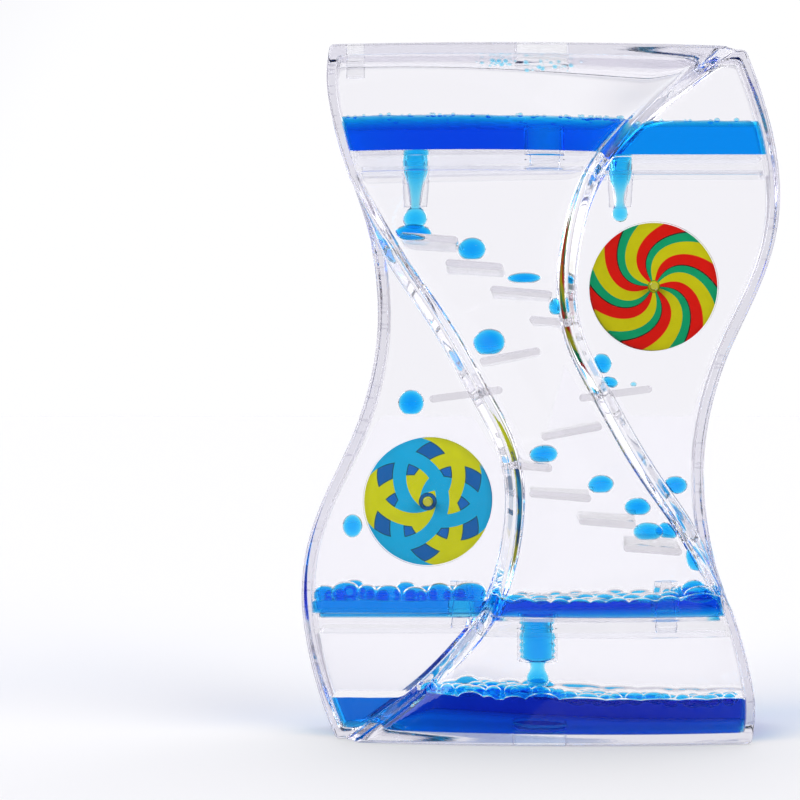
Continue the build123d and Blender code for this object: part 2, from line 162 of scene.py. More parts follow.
# ---------------------------------------------------- bodies that fill the case
class Form:
    """A body with the case's own section at each height: two flat wings and a
    crowned centre between them. inset is how far it lies inside the outer face."""

    def __init__(self, inset, z0, z1, corner=0.7, rim=1.2, foot=0.6, draft=0.6,
                 cap=None, wing=None, centre=None):
        self.inset, self.z0, self.z1 = inset, z0, z1
        self.edge = moved(RAW_EDGE, inset) if inset else RAW_EDGE
        self.waist = moved(RAW_WAIST, inset) if inset else RAW_WAIST
        self.wing = WING_HALF - inset if wing is None else wing
        self.sink = inset if centre is None else centre
        self.corner, self.rim, self.foot, self.draft = corner, rim, foot, draft
        self.cap = corner if cap is None else cap

    def ends(self, z):
        """Left edge, left waist, right waist and right edge, with their runs."""
        e = at(self.edge, z)
        w = at(self.waist, z)
        e2 = at(self.edge, HEIGHT - z)
        w2 = at(self.waist, HEIGHT - z)
        return e, w, (-w2[0], w2[1]), (-e2[0], e2[1])

    def height(self, x, z):
        return float(bulge(x, z)) - self.sink

    def side(self, edge, waist, s, z, e, n):
        """Points X and half depth from the case's edge to the crowned face."""
        xe, fe = edge
        xw, fw = waist
        x0 = xe + s * e * fe
        w = (xw - x0) * s
        top = self.wing - e
        share = min(max(w / 3.0, 0.0), 1.0)
        rr = self.corner + (self.rim - self.corner) * share
        d = self.draft * share
        pts = []
        if w > 0.02:
            r1 = min(self.corner, 0.45 * w / fe)
            r2 = min(self.foot, 0.30 * w / fw)
            for k in range(n["wall"]):
                pts.append((x0, (top - r1) * k / n["wall"]))
            for k in range(n["lip"] + 1):
                a = math.pi / 2 * k / n["lip"]
                pts.append((x0 + s * r1 * fe * (1 - math.cos(a)), top - r1 * (1 - math.sin(a))))
            xa = x0 + s * r1 * fe
            xb = xw - s * (r2 + d) * fw
            for k in range(1, n["wing"]):
                pts.append((xa + (xb - xa) * k / n["wing"], top))
            for k in range(n["lip"] + 1):
                a = math.pi / 2 * k / n["lip"]
                pts.append((xb + s * r2 * fw * math.sin(a), top + r2 * (1 - math.cos(a))))
            foot = (xb + s * r2 * fw, top + r2)
            x1 = xw + s * d * fw
            f = fw
        else:
            for k in range(n["wall"]):
                pts.append((x0, top * k / n["wall"]))
            pts += [(x0, top)] * (n["lip"] + 1 + n["wing"] - 1 + n["lip"] + 1)
            foot = (x0, top)
            x1 = x0
            f = fe
        end = x1 + s * rr * f
        full = self.height(end, z) - e
        rh = max(min(rr, 0.85 * (full - foot[1])), 0.02)
        start = self.height(x1, z) - e - rh
        rise = 0.01
        if n.get("snug") and w <= 0.02:
            # one straight wall up to the rim, in the cap's own steps
            start, rise = max(start, top), 0.0
            foot = (x0, start)
            pts = [(x0, start * k / n["wall"]) for k in range(n["wall"])]
            pts += [(x0, start)] * (n["lip"] + 1 + n["wing"] - 1 + n["lip"] + 1)
        for k in range(1, n["ledge"]):
            t = k / n["ledge"]
            pts.append((foot[0] + (x1 - foot[0]) * t, foot[1] + (max(start, foot[1] + rise) - foot[1]) * t))
        for k in range(n["rim"] + 1):
            a = math.pi / 2 * k / n["rim"]
            x = x1 + s * rr * f * (1 - math.cos(a))
            pts.append((x, self.height(x, z) - e - rh * (1 - math.sin(a))))
        return pts

    def row(self, z, n):
        d = min(z - self.z0, self.z1 - z)
        e = 0.0
        if d < self.cap:
            e = self.cap - math.sqrt(max(self.cap ** 2 - (self.cap - d) ** 2, 0.0))
        el, wl, wr, er = self.ends(z)
        left = self.side(el, wl, 1.0, z, e, n)
        right = self.side(er, wr, -1.0, z, e, n)
        xa, xb = left[-1][0], right[-1][0]
        mid = []
        for k in range(1, n["centre"]):
            x = xa + (xb - xa) * k / n["centre"]
            mid.append((x, self.height(x, z) - e))
        return left + mid + right[::-1]

    def levels(self, step):
        out = []
        c = self.cap
        for k in range(5):
            out.append(self.z0 + c * (1 - math.cos(math.pi / 2 * k / 5)))
        n = max(int((self.z1 - self.z0 - 2 * c) / step), 1)
        for k in range(n + 1):
            out.append(self.z0 + c + (self.z1 - self.z0 - 2 * c) * k / n)
        for k in range(4, -1, -1):
            out.append(self.z1 - c * (1 - math.cos(math.pi / 2 * k / 5)))
        return out

    def inside(self, x, z, gap=0.0):
        """Half depth that is free at x and z, or less than zero outside."""
        el, wl, wr, er = self.ends(z)
        if not el[0] + gap * el[1] < x < er[0] - gap * er[1]:
            return -1.0
        h = self.wing
        if wl[0] < x < wr[0]:
            h = max(self.height(x, z), self.wing)
        return h - gap


FINE = {"wall": 4, "lip": 5, "wing": 14, "ledge": 5, "rim": 6, "centre": 44}
COARSE = {"wall": 3, "lip": 3, "wing": 12, "ledge": 4, "rim": 6, "centre": 56}
DENSE = {"wall": 4, "lip": 3, "wing": 48, "ledge": 4, "rim": 5, "centre": 150}


def grid_rows(form, step, n):
    zs = form.levels(step)
    rows = [form.row(z, n) for z in zs]
    return zs, rows


class Builder:
    """Collects faces by their corners, then welds them."""

    def __init__(self):
        self.v, self.f, self.m = [], [], []

    def add(self, points, faces, slot=0):
        base = len(self.v)
        self.v.extend(points)
        self.f.extend([tuple(base + i for i in face) for face in faces])
        self.m.extend([slot] * len(faces))

    def strip(self, grid, slot=0, flip=False):
        """grid: a list of rows of points, all as long as each other."""
        r, c = len(grid), len(grid[0])
        pts = [p for row in grid for p in row]
        faces = []
        for j in range(r - 1):
            for i in range(c - 1):
                a, b = j * c + i, j * c + i + 1
                q = (a, b, b + c, a + c)
                faces.append(q[::-1] if flip else q)
        self.add(pts, faces, slot)

    def polygon(self, loop, slot=0, flip=False):
        """One flat face, cut into triangles. The loop may be concave."""
        clean = []
        for p in loop:
            if not clean or (Vector(p) - Vector(clean[-1])).length > 1e-4:
                clean.append(p)
        if (Vector(clean[0]) - Vector(clean[-1])).length < 1e-4:
            clean.pop()
        # front and rear faces are cut alike
        tris = geometry.tessellate_polygon([[Vector((p[0], abs(p[1]), p[2])) for p in clean]])
        self.add(clean, [t[::-1] if flip else t for t in tris], slot)

    def object(self, name, materials, weld=0.0004, angle=32.0):
        mesh = bpy.data.meshes.new(name)
        mesh.from_pydata([(x * 0.001, y * 0.001, z * 0.001) for x, y, z in self.v], [], self.f)
        mesh.polygons.foreach_set("material_index", self.m)
        bm = bmesh.new()
        bm.from_mesh(mesh)
        bmesh.ops.remove_doubles(bm, verts=bm.verts, dist=weld * 0.001)
        thin = [f for f in bm.faces if f.calc_area() < 1e-15]
        if thin:
            bmesh.ops.delete(bm, geom=thin, context="FACES")
        loose = [e for e in bm.edges if not e.link_faces]
        if loose:
            bmesh.ops.delete(bm, geom=loose, context="EDGES")
        bm.to_mesh(mesh)
        bm.free()
        mesh.polygons.foreach_set("use_smooth", [True] * len(mesh.polygons))
        mesh.set_sharp_from_angle(angle=math.radians(angle))
        ob = bpy.data.objects.new(name, mesh)
        scene.collection.objects.link(ob)
        for m in materials:
            mesh.materials.append(m)
        return ob


# ------------------------------------------------------------------- materials
def new_material(name):
    m = bpy.data.materials.new(name)
    m.use_nodes = True
    m.node_tree.nodes.clear()
    return m, m.node_tree.nodes, m.node_tree.links


def node(nodes, kind, **values):
    n = nodes.new(kind)
    for k, v in values.items():
        if k.startswith("in_"):
            n.inputs[k[3:].replace("_", " ")].default_value = v
        else:
            setattr(n, k, v)
    return n


def clear_material(name, ior, tint=(1, 1, 1), rough=(0.0, 0.02), scratch=0.02, grain=900.0,
                   shade=(0.96, 0.96, 0.97), absorb=None, density=0.0, haze=0.0,
                   haze_colour=(0.9, 0.9, 0.92), shine=0.5):
    """Clear moulded plastic or liquid. Lamps shine through it."""
    m, nodes, links = new_material(name)
    out = node(nodes, "ShaderNodeOutputMaterial")
    coord = node(nodes, "ShaderNodeTexCoord")
    fine = node(nodes, "ShaderNodeTexNoise")
    fine.inputs["Scale"].default_value = grain
    fine.inputs["Detail"].default_value = 6.0
    fine.inputs["Roughness"].default_value = 0.6
    links.new(coord.outputs["Object"], fine.inputs["Vector"])
    broad = node(nodes, "ShaderNodeTexNoise")
    broad.inputs["Scale"].default_value = grain * 0.09
    broad.inputs["Detail"].default_value = 3.0
    links.new(coord.outputs["Object"], broad.inputs["Vector"])
    spread = node(nodes, "ShaderNodeMapRange")
    spread.inputs["From Min"].default_value = 0.42
    spread.inputs["From Max"].default_value = 0.75
    spread.inputs["To Min"].default_value = rough[0]
    spread.inputs["To Max"].default_value = rough[1]
    links.new(broad.outputs["Fac"], spread.inputs["Value"])
    glass = node(nodes, "ShaderNodeBsdfPrincipled")
    glass.inputs["Base Color"].default_value = (*tint, 1)
    glass.inputs["Transmission Weight"].default_value = 1.0
    glass.inputs["IOR"].default_value = ior
    glass.inputs["Specular IOR Level"].default_value = shine
    if ior > 1.4:
        glass.inputs["Specular Tint"].default_value = (0.35, 0.35, 0.37, 1)
    links.new(spread.outputs["Result"], glass.inputs["Roughness"])
    if scratch:
        bump = node(nodes, "ShaderNodeBump")
        bump.inputs["Strength"].default_value = scratch
        bump.inputs["Distance"].default_value = 0.0002
        links.new(fine.outputs["Fac"], bump.inputs["Height"])
        links.new(bump.outputs["Normal"], glass.inputs["Normal"])
    surface = glass.outputs["BSDF"]
    if haze:
        soft = node(nodes, "ShaderNodeBsdfTranslucent")
        soft.inputs["Color"].default_value = (*haze_colour, 1)
        cover = node(nodes, "ShaderNodeMapRange")
        cover.inputs["From Min"].default_value = 0.3
        cover.inputs["From Max"].default_value = 0.7
        cover.inputs["To Min"].default_value = haze * 0.6
        cover.inputs["To Max"].default_value = haze * 1.4
        links.new(broad.outputs["Fac"], cover.inputs["Value"])
        mix = node(nodes, "ShaderNodeMixShader")
        links.new(cover.outputs["Result"], mix.inputs[0])
        links.new(surface, mix.inputs[1])
        links.new(soft.outputs["BSDF"], mix.inputs[2])
        surface = mix.outputs["Shader"]
    path = node(nodes, "ShaderNodeLightPath")
    thru = node(nodes, "ShaderNodeBsdfTransparent")
    thru.inputs["Color"].default_value = (*shade, 1)
    pick = node(nodes, "ShaderNodeMixShader")
    links.new(path.outputs["Is Shadow Ray"], pick.inputs[0])
    links.new(surface, pick.inputs[1])
    links.new(thru.outputs["BSDF"], pick.inputs[2])
    links.new(pick.outputs["Shader"], out.inputs["Surface"])
    if absorb:
        vol = node(nodes, "ShaderNodeVolumeAbsorption")
        vol.inputs["Color"].default_value = (*absorb, 1)
        vol.inputs["Density"].default_value = density
        links.new(vol.outputs["Volume"], out.inputs["Volume"])
    return m


def film_material(name, colour):
    """A plain clear boundary that light passes straight."""
    m, nodes, links = new_material(name)
    out = node(nodes, "ShaderNodeOutputMaterial")
    thru = node(nodes, "ShaderNodeBsdfTransparent")
    thru.inputs["Color"].default_value = (*colour, 1)
    links.new(thru.outputs["BSDF"], out.inputs["Surface"])
    return m


CASE = clear_material("case_outside", 1.53, tint=(0.985, 0.983, 0.995), rough=(0.0, 0.012), scratch=0.012, shine=0.3)
CASE_IN = clear_material("case_inside", 1.075, tint=(0.995, 0.994, 1.0), rough=(0.0, 0.008), scratch=0.01)
SEAM = film_material("case_seam", (0.77, 0.76, 0.81))
OIL = film_material("oil", (0.968, 0.965, 0.972))
SHELF = clear_material("shelf_plastic", 1.09, tint=(0.985, 0.983, 0.99), rough=(0.0, 0.03), scratch=0.03, haze=0.03)
RAMP = clear_material("ramp_plastic", 1.14, tint=(0.86, 0.845, 0.87), rough=(0.0, 0.04), scratch=0.04, haze=0.05)
WHEEL = clear_material("wheel_plastic", 1.09, tint=(0.985, 0.985, 0.99), rough=(0.0, 0.03), scratch=0.03)
PLUG = clear_material("plug_plastic", 1.07, tint=(0.97, 0.97, 0.98), rough=(0.0, 0.05), scratch=0.04, haze=0.06)


def blue_material(name, density, wave=0.02, absorb=(0.10, 0.80, 0.990)):
    """Dyed water in oil. It takes colour from the light by its depth."""
    m, nodes, links = new_material(name)
    out = node(nodes, "ShaderNodeOutputMaterial")
    coord = node(nodes, "ShaderNodeTexCoord")
    ripple = node(nodes, "ShaderNodeTexNoise")
    ripple.inputs["Scale"].default_value = 260.0
    ripple.inputs["Detail"].default_value = 3.0
    links.new(coord.outputs["Object"], ripple.inputs["Vector"])
    bump = node(nodes, "ShaderNodeBump")
    bump.inputs["Strength"].default_value = wave
    bump.inputs["Distance"].default_value = 0.0005
    links.new(ripple.outputs["Fac"], bump.inputs["Height"])
    spread = node(nodes, "ShaderNodeMapRange")
    spread.inputs["From Min"].default_value = 0.45
    spread.inputs["From Max"].default_value = 0.8
    spread.inputs["To Min"].default_value = 0.0
    spread.inputs["To Max"].default_value = 0.02
    links.new(ripple.outputs["Fac"], spread.inputs["Value"])
    glass = node(nodes, "ShaderNodeBsdfGlass")
    glass.inputs["IOR"].default_value = 0.94
    glass.inputs["Color"].default_value = (1, 1, 1, 1)
    links.new(spread.outputs["Result"], glass.inputs["Roughness"])
    links.new(bump.outputs["Normal"], glass.inputs["Normal"])
    path = node(nodes, "ShaderNodeLightPath")
    thru = node(nodes, "ShaderNodeBsdfTransparent")
    thru.inputs["Color"].default_value = (0.9, 0.97, 1.0, 1)
    pick = node(nodes, "ShaderNodeMixShader")
    links.new(path.outputs["Is Shadow Ray"], pick.inputs[0])
    links.new(glass.outputs["BSDF"], pick.inputs[1])
    links.new(thru.outputs["BSDF"], pick.inputs[2])
    links.new(pick.outputs["Shader"], out.inputs["Surface"])
    vol = node(nodes, "ShaderNodeVolumeAbsorption")
    vol.inputs["Color"].default_value = (*absorb, 1)
    vol.inputs["Density"].default_value = density
    links.new(vol.outputs["Volume"], out.inputs["Volume"])
    return m


BLUE_POOL = blue_material("blue_pool", 600.0, absorb=(0.03, 0.85, 0.9885))
BLUE_DEEP = blue_material("blue_deep", 640.0, absorb=(0.03, 0.80, 0.962))
BLUE_DROP = blue_material("blue_drop", 1050.0, wave=0.01, absorb=(0.02, 0.825, 0.998))
BLUE_STREAM = blue_material("blue_stream", 800.0, wave=0.01, absorb=(0.01, 0.84, 0.998))
BLUE_PILE = blue_material("blue_pile", 600.0, wave=0.05, absorb=(0.02, 0.83, 0.98))
BLUE_HEAP = blue_material("blue_heap", 1000.0, wave=0.02, absorb=(0.02, 0.81, 0.985))


class Sums:
    """Short hand for a shader's arithmetic."""

    def __init__(self, nodes, links):
        self.nodes, self.links = nodes, links

    def math(self, op, a, b=None, c=None):
        n = self.nodes.new("ShaderNodeMath")
        n.operation = op
        for i, v in enumerate((a, b, c)):
            if v is None:
                continue
            if isinstance(v, (int, float)):
                n.inputs[i].default_value = v
            else:
                self.links.new(v, n.inputs[i])
        return n.outputs[0]

    def blend(self, fac, a, b):
        n = self.nodes.new("ShaderNodeMix")
        n.data_type = "RGBA"
        for i, v in ((0, fac), (6, a), (7, b)):
            if isinstance(v, (int, float)):
                n.inputs[i].default_value = v
            elif isinstance(v, tuple):
                n.inputs[i].default_value = (*v, 1)
            else:
                self.links.new(v, n.inputs[i])
        return n.outputs[2]


def lin(r, g, b):
    """Colour on a screen, 0 to 255, as light."""
    out = []
    for v in (r, g, b):
        v /= 255.0
        out.append(v / 12.92 if v <= 0.04045 else ((v + 0.055) / 1.055) ** 2.4)
    return tuple(out)


def print_material(name, centre, radius, draw):
    """Ink on a clear film, in a round pattern about the wheel's centre."""
    m, nodes, links = new_material(name)
    sums = Sums(nodes, links)
    out = node(nodes, "ShaderNodeOutputMaterial")
    coord = node(nodes, "ShaderNodeTexCoord")
    split = node(nodes, "ShaderNodeSeparateXYZ")
    links.new(coord.outputs["Object"], split.inputs[0])
    x = sums.math("DIVIDE", sums.math("SUBTRACT", split.outputs["X"], centre[0] * 0.001), radius * 0.001)
    z = sums.math("DIVIDE", sums.math("SUBTRACT", split.outputs["Z"], centre[1] * 0.001), radius * 0.001)
    rho = sums.math("SQRT", sums.math("ADD", sums.math("MULTIPLY", x, x), sums.math("MULTIPLY", z, z)))
    turn = sums.math("DIVIDE", sums.math("ARCTAN2", z, x), 2 * math.pi)
    colour = draw(sums, x, z, rho, turn)
    # ink lies a little unevenly and is darker towards the rim; painted light: the print is lighter towards the top and
    # darker towards the bottom
    mottle = node(nodes, "ShaderNodeTexNoise")
    mottle.inputs["Scale"].default_value = 420.0
    mottle.inputs["Detail"].default_value = 5.0
    links.new(coord.outputs["Object"], mottle.inputs["Vector"])
    grain = node(nodes, "ShaderNodeTexNoise")
    grain.inputs["Scale"].default_value = 5200.0
    grain.inputs["Detail"].default_value = 2.0
    links.new(coord.outputs["Object"], grain.inputs["Vector"])
    shade = sums.math("ADD", sums.math("MULTIPLY", sums.math("SUBTRACT", mottle.outputs["Fac"], 0.5), 0.16),
                      sums.math("MULTIPLY", sums.math("SUBTRACT", grain.outputs["Fac"], 0.5), 0.10))
    # painted light: lighter towards the top, darker towards the bottom
    shade = sums.math("ADD", shade, sums.math("MULTIPLY", z, 0.06))
    edge = node(nodes, "ShaderNodeMapRange")
    edge.inputs["From Min"].default_value = 0.90
    edge.inputs["From Max"].default_value = 1.0
    edge.inputs["To Min"].default_value = 0.0
    edge.inputs["To Max"].default_value = 0.12
    links.new(rho, edge.inputs["Value"])
    shade = sums.math("SUBTRACT", shade, edge.outputs["Result"])
    value = node(nodes, "ShaderNodeHueSaturation")
    links.new(colour, value.inputs["Color"])
    links.new(sums.math("ADD", shade, 1.0), value.inputs["Value"])
    p = node(nodes, "ShaderNodeBsdfPrincipled")
    p.inputs["Specular IOR Level"].default_value = 0.2
    p.inputs["Coat Weight"].default_value = 0.04
    p.inputs["Coat Roughness"].default_value = 0.08
    links.new(value.outputs["Color"], p.inputs["Base Color"])
    rough = node(nodes, "ShaderNodeMapRange")
    rough.inputs["To Min"].default_value = 0.28
    rough.inputs["To Max"].default_value = 0.5
    links.new(mottle.outputs["Fac"], rough.inputs["Value"])
    links.new(rough.outputs["Result"], p.inputs["Roughness"])
    bump = node(nodes, "ShaderNodeBump")
    bump.inputs["Strength"].default_value = 0.08
    bump.inputs["Distance"].default_value = 0.0001
    links.new(grain.outputs["Fac"], bump.inputs["Height"])
    links.new(bump.outputs["Normal"], p.inputs["Normal"])
    links.new(p.outputs["BSDF"], out.inputs["Surface"])
    return m


YELLOW = lin(226, 220, 6)
RED = lin(242, 18, 0)
GREEN = lin(0, 172, 112)
CYAN = lin(0, 190, 244)
LIME = lin(230, 234, 0)
NAVY = lin(0, 106, 186)


def swirl(sums, x, z, rho, turn):
    """Six periods of yellow, red and green arms that bend as they leave the hub."""
    r2 = sums.math("MULTIPLY", rho, rho)
    bend = sums.math("ADD", sums.math("MULTIPLY", rho, -38.0), sums.math("MULTIPLY", r2, 165.5))
    bend = sums.math("SUBTRACT", bend, sums.math("MULTIPLY", sums.math("MULTIPLY", r2, rho), 71.4))
    turned = sums.math("ADD", sums.math("MULTIPLY", turn, 360.0), bend)
    # 137 degrees is the yellow and red arms' meeting line at the hub
    phase = sums.math("FRACT", sums.math("ADD", sums.math("DIVIDE", sums.math("SUBTRACT", 137.0, turned), 60.0), 12.0))
    colour = YELLOW
    colour = sums.blend(sums.math("LESS_THAN", phase, 0.625), colour, GREEN)
    line = sums.math("LESS_THAN", phase, 0.386)
    colour = sums.blend(line, colour, lin(34, 18, 10))
    colour = sums.blend(sums.math("LESS_THAN", phase, 0.352), colour, RED)
    colour = sums.blend(sums.math("LESS_THAN", phase, 0.012), colour, lin(238, 130, 20))
    hub = sums.math("LESS_THAN", rho, 0.098)
    colour = sums.blend(hub, colour, lin(120, 160, 30))
    colour = sums.blend(sums.math("LESS_THAN", rho, 0.082), colour, YELLOW)
    return colour


def rosette(sums, x, z, rho, turn):
    """Six wide rings round the centre, laid on each other in turn, in two colours.
    The ground shows dark blue in the gaps between them."""
    away, inner, outer, first = 0.463, 0.592, 0.80, 57.0
    ds = []
    for k in range(6):
        a = math.radians(first + 60 * k)
        dx = sums.math("SUBTRACT", x, away * math.cos(a))
        dz = sums.math("SUBTRACT", z, away * math.sin(a))
        ds.append(sums.math("SQRT", sums.math("ADD", sums.math("MULTIPLY", dx, dx), sums.math("MULTIPLY", dz, dz))))
    count = sums.math("LESS_THAN", ds[0], inner)
    for d in ds[1:]:
        count = sums.math("ADD", count, sums.math("LESS_THAN", d, inner))
    part = sums.math("DIVIDE", sums.math("ADD", sums.math("MULTIPLY", turn, 360.0), 30.0 - first + 360.0), 120.0)
    odd = sums.math("GREATER_THAN", sums.math("FRACT", part), 0.5)
    colour = sums.blend(odd, LIME, CYAN)
    gap = sums.math("GREATER_THAN", count, 1.5)
    colour = sums.blend(gap, colour, sums.blend(sums.math("GREATER_THAN", rho, 0.65), lin(0, 114, 206), NAVY))
    for d in ds:
        wide = sums.math("MULTIPLY", sums.math("GREATER_THAN", d, inner - 0.016), sums.math("LESS_THAN", d, outer + 0.016))
        colour = sums.blend(sums.math("MULTIPLY", wide, gap), colour, lin(14, 92, 104))
    for k in (3, 4, 5, 0, 1, 2):
        band = sums.math("MULTIPLY", sums.math("GREATER_THAN", ds[k], inner), sums.math("LESS_THAN", ds[k], outer))
        colour = sums.blend(band, colour, CYAN if k % 2 == 0 else LIME)
    colour = sums.blend(sums.math("LESS_THAN", rho, 0.142), colour, lin(8, 96, 128))
    colour = sums.blend(sums.math("LESS_THAN", rho, 0.126), colour, lin(0, 96, 178))
    colour = sums.blend(sums.math("LESS_THAN", rho, 0.088), colour, lin(10, 100, 110))
    colour = sums.blend(sums.math("LESS_THAN", rho, 0.076), colour, LIME)
    return colour


SWIRL = print_material("swirl_ink", WR, 13.9, swirl)
ROSETTE = print_material("rosette_ink", WL, 13.9, rosette)


def solid_material(name, colour, rough=0.35, grain=1500.0):
    """Opaque moulded plastic."""
    m, nodes, links = new_material(name)
    out = node(nodes, "ShaderNodeOutputMaterial")
    coord = node(nodes, "ShaderNodeTexCoord")
    noise = node(nodes, "ShaderNodeTexNoise")
    noise.inputs["Scale"].default_value = grain
    noise.inputs["Detail"].default_value = 5.0
    links.new(coord.outputs["Object"], noise.inputs["Vector"])
    tone = node(nodes, "ShaderNodeHueSaturation")
    tone.inputs["Color"].default_value = (*colour, 1)
    tones = node(nodes, "ShaderNodeMapRange")
    tones.inputs["To Min"].default_value = 0.85
    tones.inputs["To Max"].default_value = 1.12
    links.new(noise.outputs["Fac"], tones.inputs["Value"])
    links.new(tones.outputs["Result"], tone.inputs["Value"])
    p = node(nodes, "ShaderNodeBsdfPrincipled")
    links.new(tone.outputs["Color"], p.inputs["Base Color"])
    span = node(nodes, "ShaderNodeMapRange")
    span.inputs["To Min"].default_value = rough * 0.8
    span.inputs["To Max"].default_value = rough * 1.3
    links.new(noise.outputs["Fac"], span.inputs["Value"])
    links.new(span.outputs["Result"], p.inputs["Roughness"])
    bump = node(nodes, "ShaderNodeBump")
    bump.inputs["Strength"].default_value = 0.1
    bump.inputs["Distance"].default_value = 0.0001
    links.new(noise.outputs["Fac"], bump.inputs["Height"])
    links.new(bump.outputs["Normal"], p.inputs["Normal"])
    links.new(p.outputs["BSDF"], out.inputs["Surface"])
    return m


PIN = solid_material("pin_plastic", lin(205, 205, 60))


# ------------------------------------------------------------------ half shells
def half_shell(name, s, node_name):
    """s is -1 for the front half and 1 for the rear half."""
    outer = Form(0.0, 0.0, HEIGHT, corner=0.7, rim=1.3, foot=0.6, draft=0.6)
    inner = Form(1.95, 2.15, HEIGHT - 2.15, corner=1.0, rim=2.6, foot=0.8, draft=0.6, cap=0.7)
    b = Builder()
    edge = {}
    for key, form, slot, flip in (("out", outer, 0, s < 0), ("in", inner, 1, s > 0)):
        zs, rows = grid_rows(form, 0.9, FINE)
        grid = [[(x, s * max(h, 0.0), z) for x, h in row] for z, row in zip(zs, rows)]
        b.strip(grid, slot, flip=not flip)
        edge[key] = grid
    # top and bottom plates, with round holes for the plugs
    for key, slot in (("out", 0), ("in", 1)):
        for end in (0, -1):
            row = edge[key][end]
            z = row[0][2]
            holes = [(0.0, PLUG_R)]
            if end == -1:
                holes = [(FILLER_X, FILLER_R), (0.0, PLUG_R)]
            loop = list(row)
            for cx, r in reversed(holes):
                n = 40 if r > 3 else 20
                loop += [(cx + r * math.cos(math.pi * k / n), s * r * math.sin(math.pi * k / n), z) for k in range(n + 1)]
            up = (end == -1) == (key == "out")
            b.polygon(loop, slot, flip=(s < 0) == up)
    # walls of the plug holes
    for end, holes in ((0, [(0.0, PLUG_R)]), (-1, [(FILLER_X, FILLER_R), (0.0, PLUG_R)])):
        za, zb = edge["out"][end][0][2], edge["in"][end][0][2]
        for cx, r in holes:
            n = 40 if r > 3 else 20
            ring = [[(cx + r * math.cos(math.pi * k / n), s * r * math.sin(math.pi * k / n), z) for k in range(n + 1)]
                    for z in (za, zb)]
            b.strip(ring, 1, flip=(s > 0) == (end == 0))
    # seam at the middle plane, in three runs between the holes
    out_l = [row[0] for row in edge["out"]]
    out_r = [row[-1] for row in edge["out"]]
    in_l = [row[0] for row in edge["in"]]
    in_r = [row[-1] for row in edge["in"]]
    zt, zi = out_l[-1][2], in_l[-1][2]
    zb, zj = out_l[0][2], in_l[0][2]
    runs = [
        [(FILLER_X + FILLER_R, 0, zt), (-PLUG_R, 0, zt), (-PLUG_R, 0, zi), (FILLER_X + FILLER_R, 0, zi)],
        [(-PLUG_R, 0, zb)] + out_l + [(FILLER_X - FILLER_R, 0, zt), (FILLER_X - FILLER_R, 0, zi)]
        + in_l[::-1] + [(-PLUG_R, 0, zj)],
        [(PLUG_R, 0, zb)] + out_r + [(PLUG_R, 0, zt), (PLUG_R, 0, zi)] + in_r[::-1] + [(PLUG_R, 0, zj)],
    ]
    for loop in runs:
        b.polygon(loop, 2)
    ob = b.object(name, [CASE, CASE_IN, SEAM])
    bm = bmesh.new()
    bm.from_mesh(ob.data)
    bmesh.ops.recalc_face_normals(bm, faces=bm.faces)
    print(name, "open edges", sum(1 for e in bm.edges if not e.is_manifold), "faces", len(bm.faces))
    bm.to_mesh(ob.data)
    bm.free()
    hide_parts(node_name)
    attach(ob, "case")
    return ob


front = half_shell("front_half_shell", -1, "front_shell")
rear = half_shell("rear_half_shell", 1, "rear_shell")


# ------------------------------------------------------------- the oil's volume
def filled(name, form, step, n, materials, deep=8, top=None, bottom=None):
    """Closed body of a form, front and rear. top and bottom lift a cap's points."""
    b = Builder()
    # as many points up the end walls as rows across a cap, so that they share them
    zs, rows = grid_rows(form, step, dict(n, wall=deep, snug=True))
    for s in (-1, 1):
        grid = [[(x, s * max(h, 0.0), z) for x, h in row] for z, row in zip(zs, rows)]
        b.strip(grid, 0, flip=s > 0)
        for end, lift in ((0, bottom), (-1, top)):
            row = grid[end][deep:len(grid[end]) - deep]
            cap = []
            for k in range(deep + 1):
                t = k / deep
                pts = []
                for x, y, z in row:
                    q = (x, y * (1 - t), z)
                    if lift and 0 < k:
                        q = (q[0], q[1], z + lift(q[0], q[1]))
                    pts.append(q)
                cap.append(pts)
            b.strip(cap, 0, flip=(s > 0) == (end == -1))
    ob = b.object(name, materials)
    bm = bmesh.new()
    bm.from_mesh(ob.data)
    bmesh.ops.recalc_face_normals(bm, faces=bm.faces)
    print(name, "open edges", sum(1 for e in bm.edges if not e.is_manifold), "faces", len(bm.faces))
    bm.to_mesh(ob.data)
    bm.free()
    return ob


oil = filled("clear_oil", Form(1.98, 2.18, HEIGHT - 2.18, corner=1.0, rim=2.6, foot=0.8, cap=0.7), 3.0, COARSE, [OIL])
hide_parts("upper_oil", "middle_oil", "lower_oil")
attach(oil, "case")


def finish_node(name, material):
    ob = nodes_by_name[name]
    ob.data.materials.clear()
    ob.data.materials.append(material)


for n in ("upper_shelf", "lower_shelf"):
    finish_node(n, SHELF)
for i in range(12):
    finish_node("ramp_%02d" % (i + 1), RAMP)
for n in ("left_wheel", "right_wheel"):
    finish_node(n, WHEEL)
for n in ("top_plug", "bottom_plug", "filler_plug"):
    finish_node(n, PLUG)
for n in ("left_axle_pin", "right_axle_pin"):
    finish_node(n, PIN)
for n in ("left_front_print", "left_rear_print"):
    finish_node(n, ROSETTE)
for n in ("right_front_print", "right_rear_print"):
    finish_node(n, SWIRL)


